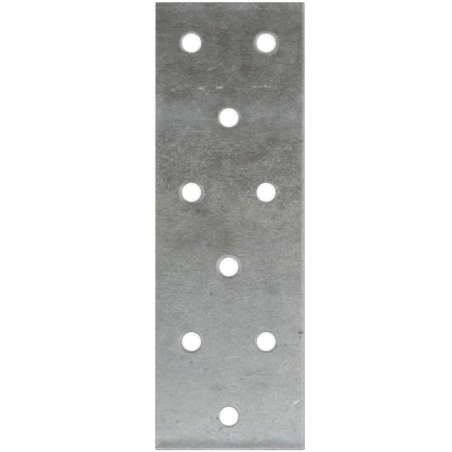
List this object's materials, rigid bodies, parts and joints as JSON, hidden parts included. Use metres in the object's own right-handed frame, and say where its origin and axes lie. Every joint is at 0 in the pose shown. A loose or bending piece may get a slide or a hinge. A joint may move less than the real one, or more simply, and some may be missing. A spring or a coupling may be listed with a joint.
{
  "type": "mending plate",
  "caption": "Flat rectangular galvanised steel plate with a staggered grid of round nail holes, for joining or mending timber parts.",
  "frame": {"origin": "on the underside, at the centre of the plate's outline", "axes": "+X across the plate's width, +Y along its length towards the end with a pair of holes, +Z out of the face that the punches entered"},
  "size_m": [0.04, 0.12, 0.002],
  "materials": {
    "galvanised_steel": "zinc-coated, satin, lightly scuffed"
  },
  "bodies": {
    "root": {"mending_plate": "galvanised_steel"}
  },
  "joints": []
}
